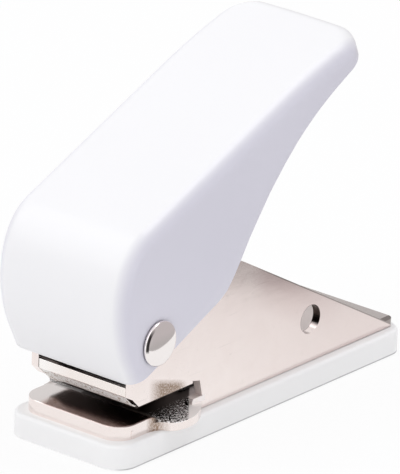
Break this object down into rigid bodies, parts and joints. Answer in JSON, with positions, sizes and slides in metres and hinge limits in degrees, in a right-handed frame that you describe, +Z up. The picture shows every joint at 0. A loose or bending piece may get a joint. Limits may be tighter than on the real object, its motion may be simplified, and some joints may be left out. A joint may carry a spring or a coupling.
{
  "type": "dart flight punch",
  "caption": "Hand punch for dart flights: a white sprung lever drives a punch pin through a nickel-plated frame on a white base cover.",
  "frame": {"origin": "on the ground under the middle of the base cover", "axes": "+Z up, -Y towards the nose and the throat, +X towards the pivot pin's head"},
  "size_m": [0.0412, 0.103, 0.0824],
  "materials": {
    "white_plastic": "matt white moulding",
    "white_paint": "gloss white powder coat",
    "nickel_plate": "nickel-plated pressed sheet",
    "polished_rivet": "polished",
    "turned_steel": "turned, bright",
    "spring_steel": "drawn wire and spring sheet"
  },
  "bodies": {
    "frame": {"base_cover": "white_plastic", "frame": "nickel_plate", "guide_plate": "nickel_plate", "guide_bush": "turned_steel", "spring_washer": "turned_steel"},
    "lever": {"lever": "white_paint", "press_yoke": "nickel_plate", "pivot_pin": "polished_rivet", "pivot_cap": "polished_rivet", "pivot_spacer_near": "turned_steel", "pivot_spacer_far": "turned_steel"},
    "punch": {"punch_pin": "turned_steel", "cross_pin": "turned_steel", "spring_collar": "turned_steel", "retaining_clip": "spring_steel", "return_spring": "spring_steel"}
  },
  "joints": [
    {"name": "lever_hinge", "type": "hinge", "parent": "frame", "child": "lever", "pos_m": [0, -0.0405, 0.0288], "axis": [-1, 0, 0], "range_deg": [0, 22], "stiffness_Nm_per_rad": 0.17, "springref_deg": -34.38},
    {"name": "punch_slide", "type": "slide", "parent": "frame", "child": "punch", "axis": [0, 0, -1], "range_m": [0, 0.0041], "deforming": ["return_spring"]}
  ],
  "couplings": [
    {"joint": "punch_slide", "follows": "lever_hinge", "m_per_rad": 0.0105}
  ]
}
